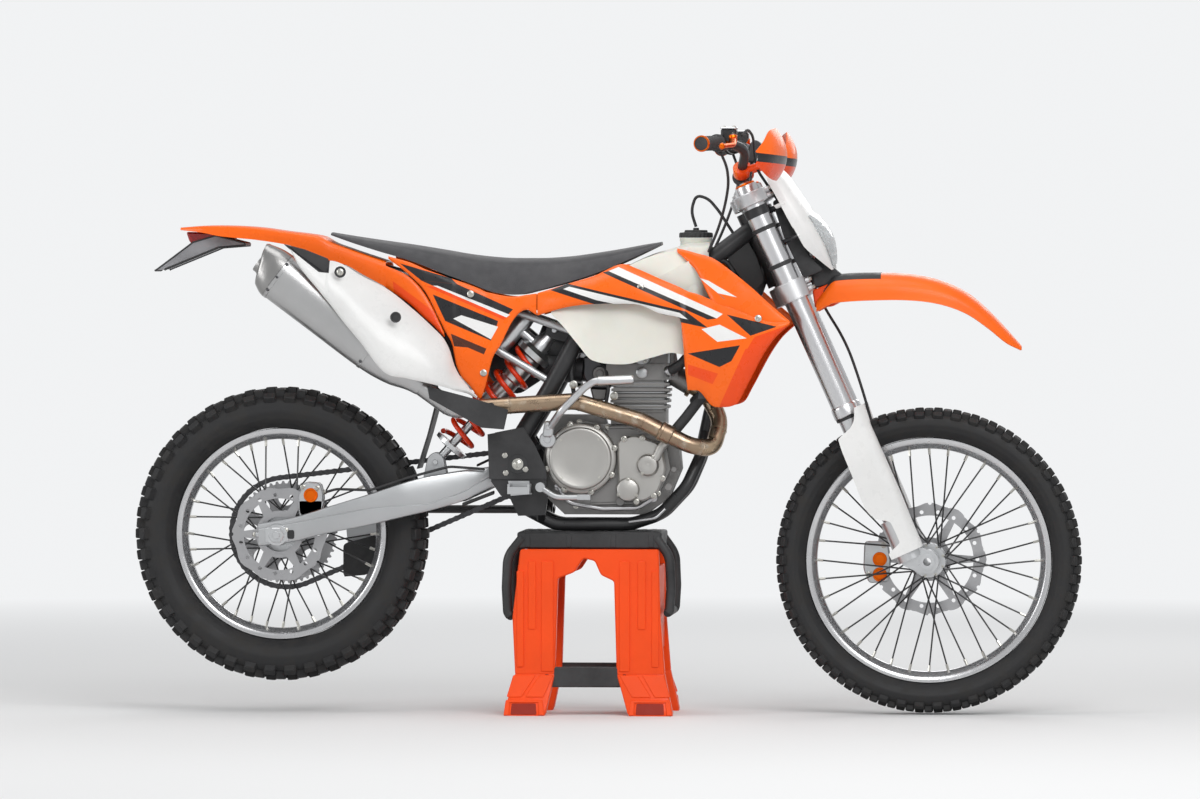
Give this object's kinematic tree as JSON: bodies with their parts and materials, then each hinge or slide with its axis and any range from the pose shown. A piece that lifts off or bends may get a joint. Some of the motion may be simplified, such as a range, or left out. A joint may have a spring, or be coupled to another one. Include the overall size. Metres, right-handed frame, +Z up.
{
  "type": "enduro dirt bike on a paddock stand",
  "caption": "Off-road enduro bike with knobbly wheels, long upside-down fork, slim bodywork and seat, standing on a moulded paddock stand.",
  "frame": {"origin": "on the floor under the middle of the bike's length and width", "axes": "+X is the way the bike faces, +Y is its left side, +Z is up"},
  "size_m": [2.172, 0.8158, 1.3376],
  "materials": {
    "tyre_rubber": "matte",
    "rim_silver": "satin",
    "spoke_black": "satin",
    "steel": "satin",
    "fork_silver": "satin",
    "arm_silver": "satin",
    "leg_steel": "polished",
    "clamp_silver": "satin",
    "frame_black": "satin",
    "subframe_silver": "satin",
    "bar_metal": "satin",
    "black_plastic": "matte",
    "plate_grey": "matte",
    "white_plastic": "gloss",
    "tank_plastic": "satin",
    "orange_plastic": "gloss",
    "stand_orange": "satin",
    "seat_cover": "matte",
    "grip_rubber": "matte",
    "control_black": "satin",
    "engine_dark": "satin",
    "cover_bronze": "satin",
    "header_bronze": "satin",
    "silencer_metal": "satin",
    "radiator_metal": "satin",
    "shock_body": "satin",
    "spring_red": "gloss",
    "lamp_clear": "gloss",
    "lamp_red": "gloss"
  },
  "bodies": {
    "bike": {"frame": "frame_black", "frame_guards": "black_plastic", "subframe": "subframe_silver", "swingarm": "arm_silver", "shock": "shock_body", "shock_spring": "spring_red", "engine_cases": "engine_dark", "engine_top": "engine_dark", "case_covers": "cover_bronze", "kick_starter": "control_black", "exhaust_header": "header_bronze", "silencer": "silencer_metal", "silencer_cap": "silencer_metal", "radiators": "radiator_metal", "shrouds": "orange_plastic", "side_covers": "orange_plastic", "rear_panels": "white_plastic", "heat_guard": "black_plastic", "rear_fender": "orange_plastic", "seat": "seat_cover", "fuel_tank": "tank_plastic", "tank_cap": "black_plastic", "airbox": "black_plastic", "plate_holder": "plate_grey", "tail_lamp": "lamp_red", "foot_controls": "control_black", "front_sprocket": "steel", "chain": "steel", "rear_axle": "steel", "rear_calliper": "control_black", "cables": "grip_rubber", "stand_frame": "stand_orange", "stand_top": "black_plastic"},
    "steering": {"lower_clamp": "clamp_silver", "upper_clamp": "clamp_silver", "fork_outer_tubes": "fork_silver", "fork_lower_legs": "leg_steel", "fork_guards": "white_plastic", "handlebar": "bar_metal", "grips": "grip_rubber", "controls": "control_black", "hand_guards": "orange_plastic", "headlight_mask": "white_plastic", "headlight_lens": "lamp_clear", "front_fender": "orange_plastic", "front_calliper": "control_black", "front_axle": "steel", "front_brake_hose": "grip_rubber"},
    "front_wheel": {"front_tyre": "tyre_rubber", "front_rim": "rim_silver", "front_hub_spokes": "spoke_black", "front_disc": "steel"},
    "rear_wheel": {"rear_tyre": "tyre_rubber", "rear_rim": "rim_silver", "rear_hub_spokes": "spoke_black", "rear_disc": "steel", "rear_sprocket": "steel"},
    "side_stand": {"side_stand": "frame_black"}
  },
  "joints": [
    {"name": "steering_turn", "type": "hinge", "parent": "bike", "child": "steering", "pos_m": [0.40724, 0, 0.95764], "axis": [-0.4067, 0, 0.9135], "range_deg": [-42, 42], "deforming": ["cables"]},
    {"name": "front_wheel_spin", "type": "hinge", "parent": "steering", "child": "front_wheel", "pos_m": [0.736, 0, 0.352], "axis": [0, 1, 0], "continuous": true},
    {"name": "rear_wheel_spin", "type": "hinge", "parent": "bike", "child": "rear_wheel", "pos_m": [-0.748, 0, 0.41], "axis": [0, 1, 0], "continuous": true},
    {"name": "side_stand_swing", "type": "hinge", "parent": "bike", "child": "side_stand", "pos_m": [-0.147, 0.15, 0.462], "axis": [0, -0.9659, -0.2588], "range_deg": [0, 95]}
  ]
}
